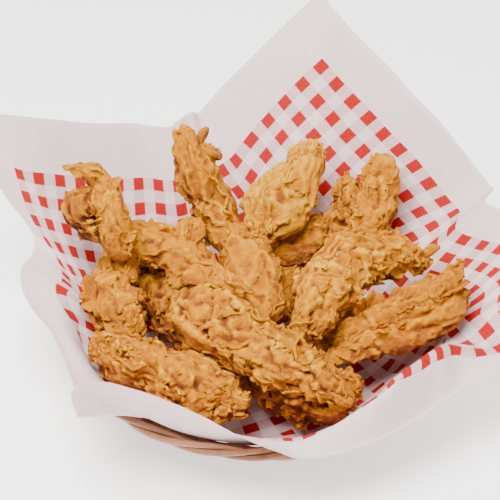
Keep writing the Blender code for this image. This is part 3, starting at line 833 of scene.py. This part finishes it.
# loose flakes of batter, rooted along the crust and curling up at the edge
def makeFlakes(points, normals, along, weight, count, size, draw):
    rows, columns = 6, 10
    picks = draw.choice(len(points), count, p=weight / weight.sum())
    root, up = points[picks], normals[picks]
    turn = np.cross(up, along[picks]) * draw.choice([-1, 1], count)[:, None]
    turn = turn + 0.55 * draw.normal(size=(count, 3))
    turn = unit(turn - up * (turn * up).sum(1, keepdims=True))

    def drawn(low, high):
        return draw.uniform(low, high, count)[:, None, None]

    length, width = size * drawn(0.45, 1.0), size * drawn(0.8, 1.8)
    start, curl = np.radians(drawn(-5, 55)), np.radians(drawn(5, 70))
    u, v = np.linspace(0, 1, rows)[None, :, None], np.linspace(-1, 1, columns)[None, None, :]
    ragged = draw.normal(size=(count, 1, columns + 2))
    ragged = (ragged[..., :-2] + ragged[..., 1:-1] + ragged[..., 2:]) / 1.7
    reach = length * np.clip((1 - 0.55 * np.abs(v) ** 2.5) * (1 + 0.24 * ragged), 0.25, 1.6)
    angle = start + curl * u
    forward, climb = u * reach * np.cos(angle), u * reach * np.sin(angle)
    spread = v * width / 2 * (1 - 0.2 * u ** 2)
    wave = drawn(0.3, 1.0) * u ** 1.5 * np.sin(v * drawn(2.5, 7) + drawn(0, 6.28))
    bow = 0.35 * (v * width / 2) ** 2 / 9.0
    root, up, turn, side = (w[:, None, None] for w in (root, up, turn, np.cross(up, turn)))
    # rooted a millimetre deep and a millimetre back
    sheet = (root - up * 0.9 + turn * (forward - 1.0)[..., None]
             + side * spread[..., None] + up * (climb + wave - bow)[..., None])
    outward = np.abs(v) ** 3
    return thicken(sheet, 0.5 * (1 - 0.5 * u) * (1 - 0.3 * outward), 0.40 + 0.24 * u ** 2 + 0.06 * outward)


# one ruffled lip of batter standing along a root line, leaning over to one side
def makeFrill(path, normal, height, lean, curl, draw):
    spans = travelled(path)
    count = max(8, int(spans[-1] / 0.75))
    s = np.linspace(0, spans[-1], count)
    path, normal = (np.stack([np.interp(s, spans, v[:, k]) for k in range(3)], -1) for v in (path, normal))
    normal, ahead = unit(normal), unit(np.gradient(path, axis=0))
    across = unit(np.cross(normal, ahead))
    rows = 7 if height < 7 else 15
    u = np.linspace(0, 1, rows)[:, None]

    def along(period):
        return lineNoise(s / period, draw.uniform(0, 99), 3)[None, :]

    taper = np.sin(np.linspace(0.04, 0.96, count) * math.pi)[None, :] ** 0.45
    tall = height * taper * np.clip(1 + 0.45 * along(4.5) + 0.22 * along(1.8), 0.3, 1.7)
    angle = lean + 0.5 * along(9.0) + (curl + 0.8 * along(5.0)) * u
    step = tall / (rows - 1)
    side, rise = (np.concatenate([np.zeros((1, count)), np.cumsum(way(angle[1:]) * step, axis=0)])
                  for way in (np.sin, np.cos))
    ruffle = u ** 1.3 * (1.4 * along(3.6) + 0.6 * along(1.7)) * min(1.0, height / 3.5)
    back = u ** 1.6 * 0.8 * along(2.6)
    sheet = ((path - normal * 0.8)[None] + across[None] * (side + ruffle)[..., None]
             + normal[None] * rise[..., None] + ahead[None] * back[..., None])
    half = (0.85 + 0.06 * height) * (1 - 0.4 * u) * taper
    return thicken(sheet[None], half, 0.40 + 0.26 * u ** 2 + 0.06 * along(3.0))


placed = []


def makeStrand(spec, hidden):
    rules, seed, thickest = crustRules, spec["seed"], spec["thick"]
    draw = np.random.default_rng(seed)
    line, breadths = np.array(spec["line"], float)[:, :3], np.array(spec["line"], float)[:, 3]
    head = line[0] + unit(line[0] - line[1]) * min(thickest, breadths[0]) * 0.75
    tail = line[-1] + unit(line[-1] - line[-2]) * min(thickest, breadths[-1]) * 0.75
    line = np.concatenate([[head], line, [tail]])
    breadths = np.concatenate([breadths[:1], breadths, breadths[-1:]])
    length = travelled(line)[-1]
    small = breadths.max() < rules["small"]
    sides = rules["smallSides"] if small else rules["hiddenSides"] if hidden else rules["sides"]
    rings = max(24, int(length / (rules["hiddenStep"] if hidden else rules["step"])))
    t = np.linspace(0, 1, rings)
    t = 0.5 * t + 0.5 * (0.5 - 0.5 * np.cos(math.pi * t))  # closer together at the ends
    middle = spineAt(line, t)
    breadth = easeThrough(t * length, travelled(line), breadths)
    thick = np.minimum(thickest, 1.1 * breadth)
    along = unit(np.gradient(middle, axis=0))
    side = unit(np.cross(along, np.array(rules["broadFace"])))
    up = unit(np.cross(side, along))
    ends = np.clip(1 - np.abs(2 * t - 1) ** rules["endRound"], 0, 1) ** 0.5
    phase = draw.uniform(0, 6.28, 6)
    bulge = 1 + 0.06 * np.sin(5 * t + phase[0]) + 0.04 * np.sin(11 * t + phase[1])
    a = (np.arange(sides) * 2 * math.pi / sides)[None, :] + (0.4 * np.sin(3 * t + phase[2]))[:, None]
    c, s = (np.sign(w) * np.abs(w) ** rules["square"] for w in (np.cos(a), np.sin(a)))
    travel = travelled(middle)
    # the two long edges wander apart, so the strip is never an even sausage
    wander = [lineNoise(travel / 15, k * 7.3, seed + 30 + k)[:, None] for k in range(4)]
    gain = (bulge * ends)[:, None]
    localY = breadth[:, None] * gain * c * (1 + 0.2 * np.where(c > 0, wander[0], wander[1]) * np.abs(c))
    localZ = thick[:, None] * gain * s * (1 + 0.18 * np.where(s > 0, wander[2], wander[3]) * np.abs(s))
    core = middle[:, None] + side[:, None] * localY[..., None] + up[:, None] * localZ[..., None]
    radial = (side[:, None] * (c / breadth[:, None])[..., None]
              + up[:, None] * (s / thick[:, None])[..., None]
              + along[:, None] * (1.2 * (2 * t - 1) ** 7 / thick)[:, None, None])
    radial = unit(radial).reshape(-1, 3)
    straight = np.stack([np.broadcast_to(travel[:, None], a.shape), localY, localZ], -1).reshape(-1, 3)
    axes = [np.repeat(v, sides, 0) for v in (along, side, up)]

    # relief of the crust, in mm
    warp = sum(noiseVectors(straight / period, seed + step) * reach for period, reach, step in rules["warps"])
    bent = straight + warp
    calm = np.repeat((0.3 + 0.7 * ends) * np.minimum(1, thick / 9), sides)
    shaggy = smoothStep(-0.45, 0.35, softNoise(straight / 17.0, seed + 6))
    rough = spec.get("rough", 1.0) * (0.3 + 0.7 * shaggy)
    (lumpSize, lump), (foldSize, fold), (grainSize, grain) = rules["lump"], rules["fold"], rules["grain"]
    folded = ridged((straight + 1.2 * warp) * [0.3, 1, 1] / foldSize, seed + 10, 1.3) - 0.35
    height = softNoise(straight / lumpSize, seed + 9) * lump + folded * fold * spec.get("fold", 0.5)
    height = height + softNoise(straight / grainSize, seed + 13) * grain
    slide = sum(reach * noiseVectors(bent / period, seed + step) for period, reach, step in rules["slides"])
    slide = slide * rough[:, None]
    lip, shown = 0, 0
    for n, layer in enumerate(rules["layers"]):
        share = spec.get("batter", (1, 1, 1))[n] * (1.0 if n == 0 else rough)
        rise, edge, push, form = batter(bent, layer, seed + 7 + 40 * n)
        height = height + rise * share
        slide = slide + push * np.reshape(share, (-1, 1))
        lip = lip + edge * share * layer["shows"]
        shown = shown + form * share * layer["shows"]
    height = blurGrid((height * calm).reshape(rings, sides), 1).reshape(-1)
    slide = slide * calm[:, None]
    lateral = sum(axis * slide[:, k:k + 1] for k, axis in enumerate(axes))
    lateral -= radial * (lateral * radial).sum(1, keepdims=True)
    skin = core.reshape(-1, 3) + radial * height[:, None] + lateral

    # where it lies on a lower piece it gives way to it
    for otherMiddle, otherSide, otherUp, otherY, otherZ in placed:
        gap = np.linalg.norm(skin[:, None, :] - otherMiddle[None, ::8], axis=2)
        near = gap.argmin(1) * 8
        away = skin - otherMiddle[near]
        y, z = (away * otherSide[near]).sum(1), (away * otherUp[near]).sum(1)
        depth = np.sqrt((y / np.maximum(otherY[near], 1)) ** 2 + (z / np.maximum(otherZ[near], 1)) ** 2)
        inside = (depth < rules["sink"]) & (gap.min(1) < 24)
        push = np.minimum(np.where(inside, rules["sink"] / np.maximum(depth, 0.25) - 1, 0), 1.5)
        skin = skin + (otherSide[near] * y[:, None] + otherUp[near] * z[:, None]) * push[:, None]

    grid = skin.reshape(rings, sides, 3)
    normals = gridNormals(grid)
    raised = height.reshape(rings, sides)
    # paler on raised edges and lips, darker in creases and on the low side of each lip: the pale edges are
    # the batter's own colour, the crease darkening is painted shade
    crestAndCreaseShade = (0.11 * (raised - blurGrid(raised, 9)) + 0.24 * (raised - blurGrid(raised, 3))).reshape(-1)
    crestAndCreaseShade = np.clip(0.42 + crestAndCreaseShade + 0.2 * shown + 0.25 * np.clip(lip, 0, 1) + 0.12 * np.clip(lip, -1, 0), 0, 1)
    shade = 0.10 * softNoise(straight / 22.0, seed + 14) + 0.28 * (radial[:, 2] - 0.6)  # random tone, and painted shade where the crust faces down
    k = np.arange(sides)
    n = (k + 1) % sides
    first, last = rings * sides, rings * sides + 1
    caps = np.concatenate([np.stack([k, n, np.full(sides, first)], -1),
                           np.stack([np.full(sides, last), first - sides + n, first - sides + k], -1)])
    tips = [[grid[0].mean(0) - along[0] * 0.4], [grid[-1].mean(0) + along[-1] * 0.4]]
    points = [np.concatenate([skin] + tips)]
    faces = gridFaces(rings, sides, True, flip=True).tolist() + caps.tolist()
    crestsAndCreaseShade, shades = [np.concatenate([crestAndCreaseShade, [0.4, 0.4]])], [np.concatenate([shade, [0, 0]])]

    def join(block, blockFaces, pale):
        faces.extend((blockFaces + sum(map(len, points))).tolist())
        points.append(block)
        crestsAndCreaseShade.append(pale)
        shades.append(np.zeros(len(block)))

    count = spec.get("flakes", 0 if small else rules["flakes"])
    if count:
        weight = (0.05 + rough) * (0.15 + np.clip(lip, 0, 1)) * np.repeat(0.2 + ends, sides)
        size = spec.get("flakeSize", rules["flakeSize"])
        join(*makeFlakes(skin, normals, axes[0], weight, count, size, draw))
    calmGrid = np.stack([blurGrid(grid[..., i], 2) for i in range(3)], -1)
    calmNormals = gridNormals(calmGrid).reshape(rings, sides, 3)
    frillStep, ringGap = rules["frillStep"], length / rings
    sideGap = 2 * math.pi * math.hypot(breadths.mean(), thick.mean()) / 1.414 / sides
    for _ in range(spec.get("frills", 0 if small or hidden else rules["frills"])):
        # a lip wanders over the side that faces up and out, mostly along the strip
        s = np.arange(0, draw.uniform(6, 22), frillStep)
        way = draw.normal(0, 0.6) + 0.8 * lineNoise(s / 7, draw.uniform(0, 99), 3)
        rows = draw.uniform(0.03, 0.85) * rings + np.cumsum(np.cos(way)) * frillStep / ringGap
        columns = draw.uniform(-0.05, 0.55) * sides + np.cumsum(np.sin(way)) * frillStep / sideGap
        rows, columns = rows.astype(int), columns.astype(int) % sides
        keep = (rows > 1) & (rows < rings - 2)
        if keep.sum() < 5:
            continue
        rows, columns = rows[keep], columns[keep]
        join(*makeFrill(calmGrid[rows, columns], calmNormals[rows, columns], draw.uniform(2.0, 5.0),
                        math.radians(draw.choice([-1, 1]) * draw.uniform(30, 75)),
                        math.radians(draw.uniform(-40, 40)), draw))
    calmPoints, calmOut = calmGrid.reshape(-1, 3), calmNormals.reshape(-1, 3)
    for root, height in spec.get("lips", ()):
        root = spineAt(np.array(root, float), np.linspace(0, 1, 40))
        near = np.linalg.norm(root[:, None] - calmPoints[None, ::2], axis=2).argmin(1) * 2
        snapped, out = calmPoints[near], unit(calmOut[near])
        for _ in range(3):
            for row in (snapped, out):
                row[1:-1] = (row[:-2] + row[1:-1] + row[2:]) / 3
        join(*makeFrill(snapped, out, height, math.radians(draw.uniform(-20, 20)),
                        math.radians(draw.uniform(-30, 30)), draw))
    body = (middle, side, up, breadth * bulge * ends, thick * bulge * ends)
    # tone holds the piece's tone, a random tone and painted shade where the crust faces down
    shades = np.concatenate(shades) + spec.get("tone", 0.0)
    return np.concatenate(points), faces, np.concatenate(crestsAndCreaseShade), shades, body


def makeTender(name, strands):
    hidden = any(word in name for word in ("bottom", "scrap"))
    points, faces, crestsAndCreaseShade, shades, bodies = [], [], [], [], []
    for strand in strands:
        mine, myFaces, crestAndCreaseShade, shade, body = makeStrand(strand, hidden)
        start = sum(map(len, points))
        faces += [[i + start for i in face] for face in myFaces]
        points.append(mine)
        crestsAndCreaseShade.append(crestAndCreaseShade)
        shades.append(shade)
        if strand["thick"] > 5:
            bodies.append(body)
    placed.extend(bodies)  # only now, so the strands of one piece grow together
    piece = makePiece("crust_" + name, np.concatenate(points), faces, crust,
                      {"crestAndCreaseShade": np.concatenate(crestsAndCreaseShade), "tone": np.concatenate(shades)})
    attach(piece, "root")
    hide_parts("tender_" + name)


for name, spec in tenders.items():
    makeTender(name, spec)
longest = bpy.data.meshes["crust_long"].polygons
print("tenders fried:", sum(len(p.vertices) - 2 for p in longest), "triangles in the longest")
